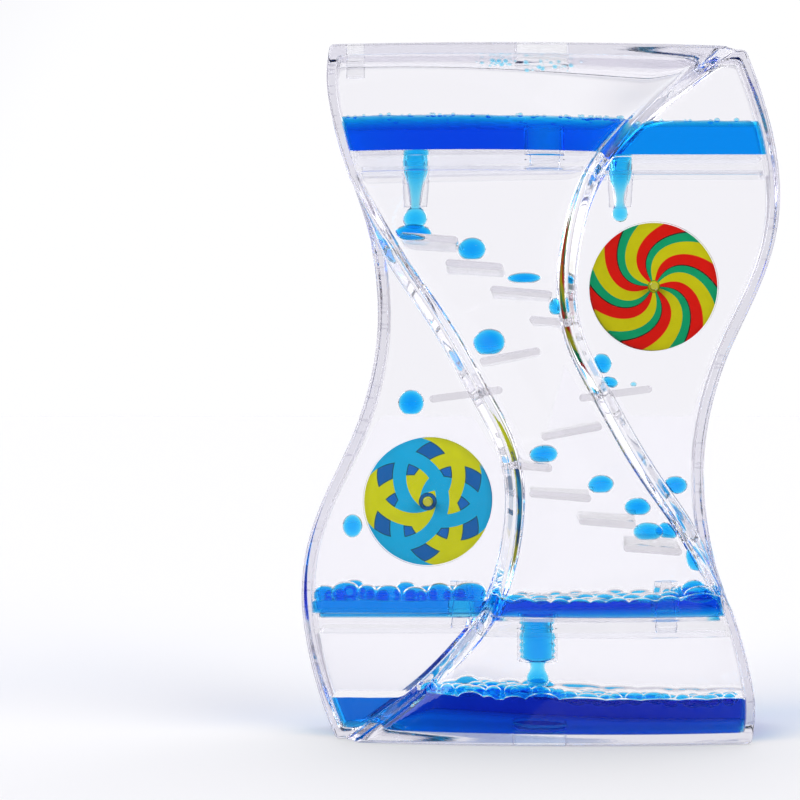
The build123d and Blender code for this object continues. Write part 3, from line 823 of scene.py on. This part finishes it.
# -------------------------------------------------------------- blue liquid
def ball(b, x, y, z, rx, ry, rz, foot=0.0, lean=0.0, squeeze=2.0, seed=0, detail=3):
    """A drop. foot flattens its underside, lean tilts it, squeeze above 2 fills
    its section out where it is pressed between its neighbours."""
    rnd = random.Random(seed * 7919 + int(x * 31) + int(z * 57))
    bm = bmesh.new()
    bmesh.ops.create_icosphere(bm, subdivisions=detail, radius=1.0)
    ph = [rnd.uniform(0, 6.28) for _ in range(4)]
    pts = []
    ca, sa = math.cos(lean), math.sin(lean)
    for v in bm.verts:
        u = v.co.copy()
        n = (abs(u.x) ** squeeze + abs(u.y) ** squeeze + abs(u.z) ** squeeze) ** (1.0 / squeeze)
        u /= n
        w = 1.0 + 0.018 * math.sin(2.0 * u.x + ph[0]) * math.sin(2.4 * u.z + ph[1]) \
            + 0.012 * math.sin(3.0 * u.y + ph[2]) * math.sin(3.1 * u.x + ph[3])
        px, py, pz = u.x * rx * w, u.y * ry * w, u.z * rz * w
        if foot and pz < -rz * (1 - foot):
            over = -rz * (1 - foot) - pz
            pz = -rz * (1 - foot) - over * 0.18
        pts.append((x + px * ca - pz * sa, y + py, z + px * sa + pz * ca))
    b.add(pts, [tuple(v.index for v in f.verts) for f in bm.faces], 0)
    bm.free()


def lathe(b, x, y, profile, seg=40):
    """profile: Z and radius, from the top down. It closes on the axis."""
    rows = []
    for z, r in profile:
        rows.append([(x + r * math.cos(2 * math.pi * k / seg), y + r * math.sin(2 * math.pi * k / seg), z)
                     for k in range(seg)])
    pts = [p for row in rows for p in row]
    faces = []
    for j in range(len(rows) - 1):
        for i in range(seg):
            a, c = j * seg + i, j * seg + (i + 1) % seg
            faces.append((a, c, c + seg, a + seg))
    faces.append(tuple(range(seg))[::-1])
    faces.append(tuple((len(rows) - 1) * seg + i for i in range(seg)))
    b.add(pts, faces, 0)


def smooth_profile(points, steps=5):
    """Rounds a profile off through its points."""
    p = [np.array(q, float) for q in points]
    out = []
    for i in range(len(p) - 1):
        p0, p1, p2, p3 = p[max(i - 1, 0)], p[i], p[i + 1], p[min(i + 2, len(p) - 1)]
        for k in range(steps):
            t = k / steps
            q = 0.5 * (2 * p1 + (p2 - p0) * t + (2 * p0 - 5 * p1 + 4 * p2 - p3) * t * t
                       + (3 * p1 - p0 - 3 * p2 + p3) * t ** 3)
            out.append((float(q[0]), max(float(q[1]), 0.02)))
    out.append((float(p[-1][0]), max(float(p[-1][1]), 0.02)))
    return out


def outward(ob):
    bm = bmesh.new()
    bm.from_mesh(ob.data)
    bmesh.ops.recalc_face_normals(bm, faces=bm.faces)
    bm.to_mesh(ob.data)
    bm.free()


def settle(ob, *nodes_replaced):
    if nodes_replaced:
        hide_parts(*nodes_replaced)
    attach(ob, "case")


def waves(x, y, size, seed=0.0):
    return size * (math.sin(x * 0.9 + seed) * math.sin(y * 0.7 + seed * 2) * 0.5
                   + math.sin(x * 0.37 + 1.3 + seed) * 0.35 + math.sin(x * 2.1 + y * 1.3 + seed) * 0.15)


def domes(x, y, size, pitch, height, seed=0):
    """Height of a layer of round drops that lie side by side."""
    best = 0.0
    j0 = int(round(y / (pitch * 0.87)))
    for j in range(j0 - 1, j0 + 2):
        shift = 0.5 * (j % 2)
        i0 = int(round(x / pitch - shift))
        for i in range(i0 - 1, i0 + 2):
            a = math.sin(i * 12.9898 + j * 78.233 + seed) * 43758.5453
            a -= math.floor(a)
            c = math.sin(i * 39.346 + j * 11.135 + seed) * 24634.6345
            c -= math.floor(c)
            cx = (i + shift + 0.32 * (a - 0.5)) * pitch
            cy = (j + 0.32 * (c - 0.5)) * pitch * 0.87
            r = size * (0.85 + 0.3 * a)
            d2 = ((x - cx) ** 2 + (y - cy) ** 2) / (r * r)
            if d2 < 1:
                best = max(best, height * (0.8 + 0.4 * c) * math.sqrt(1 - d2))
    return best


def pool(name, form, step, *, top=None, replaced=(), material=None, cut=(), grid=COARSE, deep=16):
    ob = filled(name, form, step, grid, [material or BLUE_POOL], deep=deep)
    for cx, cy, r, za, zb in cut:
        tool = Builder()
        lathe(tool, cx, cy, [(zb, r), (za, r)], seg=48)
        t_ob = tool.object(name + "_cut", [])
        outward(t_ob)
        mod = ob.modifiers.new("cut", "BOOLEAN")
        mod.operation = "DIFFERENCE"
        mod.solver = "EXACT"
        mod.object = t_ob
        dg = bpy.context.evaluated_depsgraph_get()
        made = bpy.data.meshes.new_from_object(ob.evaluated_get(dg))
        ob.modifiers.clear()
        old = ob.data
        ob.data = made
        bpy.data.meshes.remove(old)
        bpy.data.objects.remove(t_ob)
        ob.data.set_sharp_from_angle(angle=math.radians(32))
    if top:
        for v in ob.data.vertices:
            z = v.co.z * 1000
            t = (z - (form.z1 - 0.9)) / 0.9
            if t > 0:
                v.co.z += top(v.co.x * 1000, v.co.y * 1000) * min(t, 1.0) * 0.001
    return ob


# upper reservoir
upper = pool("upper_pool", Form(2.02, 127.25, 134.7, corner=0.95, rim=2.5, foot=0.75, cap=0.25), 1.5,
             top=lambda x, y: waves(x, y, 0.13), cut=[(0.0, 0.0, 4.32, 120.0, 133.78)])
settle(upper, "upper_liquid")

b = Builder()
UP = Form(2.1, 127.25, 134.7, corner=0.95, rim=2.5, foot=0.75)
rnd = random.Random(5)
for i in range(120):
    x = rnd.uniform(-42, 22) if i < 70 else rnd.uniform(9, 21)
    if i > 104:
        x = rnd.uniform(24, 44)
    r = rnd.uniform(0.28, 0.75) if i > 60 else rnd.uniform(0.3, 0.55)
    free = UP.inside(x, 134.4, r + 0.1)
    if free < 3:
        continue
    y = -(free - rnd.uniform(0.0, 0.9)) if rnd.random() < 0.75 else rnd.uniform(-free, free)
    ball(b, x, y, 134.62 + rnd.uniform(-0.2, 0.35), r, r, r * 0.75, seed=700 + i, detail=2)
froth = b.object("upper_froth", [BLUE_DROP])
settle(froth)

# what drips from the upper shelf
b = Builder()
lathe(b, -26.9, 0.0, smooth_profile([(127.15, 2.9), (125.6, 2.72), (124.2, 2.55), (122.6, 2.1), (121.0, 1.62),
                                     (119.4, 1.3), (118.0, 1.12), (116.6, 1.05), (116.05, 1.15), (115.6, 1.7),
                                     (114.7, 2.35), (113.6, 2.6), (112.6, 2.35), (111.9, 1.5), (111.6, 0.05)]))
ramp_stream = b.object("ramp_stream_liquid", [BLUE_STREAM])
outward(ramp_stream)
settle(ramp_stream, "ramp_stream")
b = Builder()
lathe(b, 17.5, 0.0, smooth_profile([(127.15, 2.75), (125.2, 2.68), (123.9, 2.55), (122.2, 2.2), (120.5, 1.5),
                                    (119.0, 1.05), (117.6, 0.95), (116.6, 1.15), (115.7, 1.65), (114.8, 1.8),
                                    (113.9, 1.6), (113.2, 0.95), (112.95, 0.05)]))
wheel_stream = b.object("wheel_stream_liquid", [BLUE_STREAM])
outward(wheel_stream)
settle(wheel_stream, "wheel_stream")

# droplets that cling under the top plate
b = Builder()
rnd = random.Random(11)
for i in range(46):
    x = rnd.uniform(-14, 10) * (1.0 if rnd.random() < 0.4 else 0.75) - 1.0
    y = rnd.uniform(-9, 3)
    r = rnd.choice((0.25, 0.35, 0.45, 0.6))
    ball(b, x, y, 147.6 - r * 0.9 - (0.5 if abs(x) < 6.2 and abs(y) < 6.2 else 0.0), r, r, r * 0.8, seed=500 + i, detail=2)
clinging = b.object("clinging_droplets", [BLUE_DROP])
settle(clinging)

# drops on the ramps and beside the wheel
DROPS = [(-27.4, -1.0, 110.6, 3.8, 3.2, 1.8), (-14.9, -2.0, 106.9, 2.8, 2.5, 2.3),
         (-4.0, 1.0, 100.5, 3.3, 2.6, 1.15), (3.4, -3.0, 94.1, 2.0, 1.9, 1.75),
         (-11.0, 0.0, 86.7, 3.15, 2.8, 2.7), (-28.6, -1.0, 73.3, 2.7, 2.7, 2.6),
         (13.4, 1.0, 81.8, 2.2, 2.2, 2.15), (15.0, -2.0, 77.6, 1.9, 1.9, 1.2),
         (0.9, 0.0, 62.1, 2.8, 2.5, 1.85), (12.9, -1.0, 55.3, 2.6, 2.4, 1.85),
         (20.7, 0.5, 50.25, 2.7, 2.4, 1.85), (22.9, -3.2, 45.0, 3.0, 2.1, 1.8),
         (27.3, 1.6, 45.0, 2.5, 2.2, 1.8), (29.8, 3.0, 54.9, 2.6, 2.5, 1.9),
         (33.3, -2.0, 39.2, 2.0, 2.0, 2.6), (12.4, -2.6, 77.4, 0.85, 0.8, 0.72),
         (20.4, -2.0, 77.2, 0.65, 0.6, 0.48)]
b = Builder()
for i, (x, y, z, rx, ry, rz) in enumerate(DROPS):
    ball(b, x, y, z - 0.1 * rz, rx * 1.07, ry * 1.05, rz * 1.13, foot=0.16, seed=i, detail=4)
ramp_drops = b.object("rolling_drops", [BLUE_DROP])
settle(ramp_drops, "ramp_drops")
b = Builder()
ball(b, -41.6, 0.0, 45.9, 2.2, 2.3, 2.6, seed=40, detail=4)
wheel_drop = b.object("beside_wheel_drop", [BLUE_DROP])
settle(wheel_drop, "wheel_drop")

# lower shelf
shelf_form = Form(2.02, 27.15, 29.2, corner=0.95, rim=2.5, foot=0.75, cap=0.3)
def front_row(rows, x, y, z, base, reach):
    """The round tops of the drops that press against the case's face, each with
    its middle, width and height."""
    d = form_room.inside(x, z, 0.0) - abs(y)
    if d > reach:
        return 0.0
    best = base
    for c, w, h in rows:
        u = (x - c) / (w * 0.53)
        if abs(u) < 1:
            best = max(best, base + (h - base) * math.sqrt(1 - u * u))
    return best * math.sqrt(max(1 - (max(d, 0.0) / reach) ** 4, 0.0))


form_room = Form(2.02, 2.2, 60.0, corner=0.95, rim=2.5, foot=0.75)


SHELF_ROW = [(-7.6, 4.2, 1.95), (-3.25, 4.5, 2.1), (0.65, 3.1, 1.7), (4.25, 3.8, 2.0), (8.4, 4.4, 2.05),
             (12.3, 3.4, 1.85), (16.4, 4.8, 2.2), (21.6, 5.6, 2.1), (27.4, 5.1, 2.5), (34.5, 9.0, 3.0)]
BOTTOM_ROW = [(-22.0, 9.4, 1.25), (-15.0, 5.2, 1.95), (-11.1, 2.6, 1.15), (-5.5, 4.4, 1.3), (0.5, 6.7, 1.95), (8.9, 9.9, 1.2),
              (17.5, 7.5, 1.0), (25.4, 8.1, 1.0), (32.4, 6.0, 0.95), (39.6, 8.4, 0.95)]


def shelf_top(x, y):
    if x < -9.8:
        return 0.75 + waves(x, y, 0.2, 2.0)
    return max(0.6 + domes(x, y, 2.45, 4.15, 1.0, 3.0), front_row(SHELF_ROW, x, y, 30.0, 0.75, 6.5))


def bottom_top(x, y):
    if x < -27.0:
        return 0.1 * waves(x, y, 1.0, 4.0)
    return max(front_row(BOTTOM_ROW, x, y, 9.0, 0.55, 6.0), 0.4 + waves(x, y, 0.2, 4.0))


shelf_pool = pool("shelf_pool", shelf_form, 1.2, top=shelf_top, material=BLUE_PILE, grid=DENSE, deep=44,
                  cut=[(26.9, 0.0, 3.1, 20.0, 33.72), (-17.5, 0.0, 3.1, 20.0, 33.72)])
settle(shelf_pool, "shelf_liquid")
layer = pool("shelf_layer", Form(3.35, 26.14, 27.13, corner=0.9, rim=2.5, foot=0.75, cap=0.2), 1.0, material=BLUE_PILE,
             cut=[(-17.5, 0.0, 3.1, 20.0, 40.0), (14.5, 0.0, 24.4, 20.0, 40.0)])
settle(layer)
room = Form(2.05, 20.0, 60.0, corner=0.95, rim=2.5, foot=0.75)
b = Builder()
WING_ROW = [(-47.4, 4.35, 33.2), (-42.8, 5.7, 33.9), (-38.2, 3.8, 33.3), (-33.6, 5.5, 33.2), (-27.6, 5.3, 32.8),
            (-22.2, 5.2, 33.6), (-15.6, 7.4, 33.8)]
BACK_ROW = [(-45.6, 4.4, 32.4), (-41.5, 4.7, 33.9), (-36.2, 4.8, 32.6), (-29.9, 4.4, 33.5), (-25.2, 4.2, 32.7),
            (-19.0, 4.6, 32.6)]
for rows, side, seed in ((WING_ROW, -1, 60), (BACK_ROW, 1, 80)):
    for i, (x, w, topz) in enumerate(rows):
        rz = min(w * 0.5, 2.7)
        deep = min(room.inside(x - w * 0.4, topz - rz, 0.1), room.inside(x + w * 0.4, topz - rz, 0.1))
        ry = deep * (0.56 if side < 0 else 0.48)
        ball(b, x, side * (deep - ry), topz - rz, w / 2 + 0.3, ry, rz,
             foot=max(0.0, 1 - (topz - rz - 29.9) / rz), squeeze=2.3, seed=seed + i)
# over the centre: a heap at the right, and a few drops behind the front row
for i, (x, y, rx, topz) in enumerate(((-5.5, -6.5, 3.1, 31.8), (0.3, -5.5, 2.2, 31.5), (5.2, -5.0, 2.2, 31.45),
                                      (14.0, -5.0, 2.2, 31.7), (19.6, -6.0, 2.2, 31.6), (24.0, -6.5, 2.4, 31.65),
                                      (10.0, 1.0, 2.2, 31.3), (27.5, -3.0, 2.2, 31.8), (18.0, 4.0, 2.3, 31.2))):
    ball(b, x, y, topz - 1.1, rx, 2.2, 1.1, seed=180 + i)
for i, (x, y, topz, rx, rz) in enumerate([(34.2, -6.0, 33.2, 3.6, 1.9), (32.9, -2.5, 34.2, 3.0, 1.9),
                                          (36.2, 1.5, 33.0, 2.8, 1.8), (30.4, 3.0, 32.6, 2.8, 1.6)]):
    if room.inside(x, topz - rz, 0.4) > abs(y) + 1.8:
        ball(b, x, y, topz - rz, rx, 3.0, rz, seed=260 + i)
settled = b.object("settled_pile", [BLUE_HEAP])
settle(settled, "settled_drops")

# stream in the return tube of the lower shelf
b = Builder()
rings = [(26.05, 3.5)]
for i in range(5):
    z = 25.2 - i * 1.7 + 0.25 * math.sin(i * 2.0)
    rings += [(z, 3.85 - 0.03 * i), (z - 0.75, 3.45 + 0.12 * math.sin(i * 3.0))]
rings += [(17.2, 3.6), (16.6, 2.8), (16.1, 1.85), (15.2, 1.6), (14.3, 1.72), (13.3, 2.2), (12.3, 2.45), (11.3, 2.3), (10.6, 1.6),
          (10.35, 0.05)]
lathe(b, 0.0, 0.0, smooth_profile(rings, 4), seg=48)
stream = b.object("return_stream_liquid", [BLUE_STREAM])
outward(stream)
settle(stream, "return_stream")

# bottom reservoir
BOTTOM = Form(2.02, 2.24, 8.8, corner=0.95, rim=2.5, foot=0.75, cap=0.25)
bottom = pool("bottom_pool", BOTTOM, 1.5, top=bottom_top, material=BLUE_DEEP, grid=DENSE, deep=24,
              cut=[])
settle(bottom, "bottom_liquid")
b = Builder()
for row in range(5):
    y = -8.6 + row * 4.3
    for i in range(22):
        x = -30.0 + i * 3.35 + (row % 2) * 1.6 + 0.8 * math.sin(i * 2.1 + row * 1.3)
        if x < -16 + 0.5 * abs(y) and y > -3 or x < -24:
            continue
        if BOTTOM.inside(x, 8.2, 1.6) < abs(y) + 0.4:
            continue
        t = min(max((x + 6.0) / 20.0, 0.0), 1.0)
        rz = 1.3 + 0.2 * math.sin(i + row * 3.0)
        tip = 12.3 - 1.3 * t - 0.105 * (y + 14.0) + 0.35 * math.sin(i * 0.9 + row)
        if tip < 9.5:
            continue
        ball(b, x, y, tip - rz, 2.1 + 0.5 * math.sin(i * 1.7 + row * 2.2), 2.2, rz, seed=300 + row * 30 + i)
heap = b.object("floating_drops", [BLUE_DROP])
settle(heap)

# ------------------------------------------------------ stage, lights and camera
def plain(name, colour, rough=0.9):
    m, nodes, links = new_material(name)
    out = node(nodes, "ShaderNodeOutputMaterial")
    p = node(nodes, "ShaderNodeBsdfPrincipled")
    p.inputs["Base Color"].default_value = (*colour, 1)
    p.inputs["Roughness"].default_value = rough
    p.inputs["Specular IOR Level"].default_value = 0.1
    links.new(p.outputs["BSDF"], out.inputs["Surface"])
    return m


mesh = bpy.data.meshes.new("floor")
R = 6.0
mesh.from_pydata([(-R, -R, -0.0001), (R, -R, -0.0001), (R, R, -0.0001), (-R, R, -0.0001)], [], [(0, 1, 2, 3)])
floor = bpy.data.objects.new("floor", mesh)
floor.data.materials.append(plain("floor_paper", (0.88, 0.88, 0.88)))
scene.collection.objects.link(floor)

world = bpy.data.worlds.new("studio")
scene.world = world
world.use_nodes = True
wn, wl = world.node_tree.nodes, world.node_tree.links
wn.clear()
wout = wn.new("ShaderNodeOutputWorld")
wbg = wn.new("ShaderNodeBackground")
wcoord = wn.new("ShaderNodeTexCoord")
wsep = wn.new("ShaderNodeSeparateXYZ")
wl.new(wcoord.outputs["Generated"], wsep.inputs[0])
wabs = wn.new("ShaderNodeMath")
wabs.operation = "ABSOLUTE"
wl.new(wsep.outputs["Y"], wabs.inputs[0])
wramp = wn.new("ShaderNodeValToRGB")
wramp.color_ramp.elements[0].position = 0.0
wramp.color_ramp.elements[0].color = (0.36, 0.35, 0.42, 1)
wramp.color_ramp.elements[1].position = 0.955
wramp.color_ramp.elements[1].color = (1.0, 1.0, 1.02, 1)
e = wramp.color_ramp.elements.new(0.55)
e.color = (0.28, 0.28, 0.34, 1)
e = wramp.color_ramp.elements.new(0.8)
e.color = (0.52, 0.51, 0.58, 1)
wl.new(wabs.outputs[0], wramp.inputs[0])
# the studio's front wall is greyer than the lit screen behind the timer
wfront = wn.new("ShaderNodeMapRange")
wfront.interpolation_type = "SMOOTHSTEP"
wfront.inputs["From Min"].default_value = -0.55
wfront.inputs["From Max"].default_value = 0.2
wfront.inputs["To Min"].default_value = 0.22
wfront.inputs["To Max"].default_value = 1.0
wl.new(wsep.outputs["Y"], wfront.inputs["Value"])
wl.new(wramp.outputs[0], wbg.inputs["Color"])
wl.new(wfront.outputs["Result"], wbg.inputs["Strength"])
wl.new(wbg.outputs[0], wout.inputs["Surface"])


def lamp(name, kind, energy, direction, angle=40.0, colour=(1, 1, 1)):
    data = bpy.data.lights.new(name, kind)
    data.energy = energy
    data.color = colour
    if kind == "SUN":
        data.angle = math.radians(angle)
    ob = bpy.data.objects.new(name, data)
    ob.rotation_mode = "QUATERNION"
    ob.rotation_quaternion = Vector(direction).to_track_quat("-Z", "Y")
    scene.collection.objects.link(ob)
    return ob


lamp("key", "SUN", 2.7, (0.74, 0.52, -0.44), 44.0)
lamp("fill", "SUN", 2.2, (-0.74, 0.52, -0.44), 44.0)
lamp("rear_left", "SUN", 0.5, (0.74, -0.52, -0.44), 44.0)
lamp("rear_right", "SUN", 0.5, (-0.74, -0.52, -0.44), 44.0)
lamp("back", "SUN", 0.2, (0.1, -0.5, -0.9), 60.0)

cam_data = bpy.data.cameras.new("camera")
cam_data.lens = 84.6
cam_data.sensor_width = 36.0
cam_data.shift_x = -0.176
cam_data.shift_y = -0.0075
cam_data.clip_start = 0.01
cam_data.clip_end = 50.0
cam = bpy.data.objects.new("camera", cam_data)
cam.location = (0.0, -0.41775, 0.075)
cam.rotation_euler = (math.radians(90), 0, 0)
scene.collection.objects.link(cam)
scene.camera = cam

scene.view_settings.view_transform = "Standard"
scene.cycles.max_bounces = 28
scene.cycles.transmission_bounces = 28
scene.cycles.glossy_bounces = 10
scene.cycles.transparent_max_bounces = 64
scene.cycles.caustics_reflective = False
scene.cycles.caustics_refractive = False
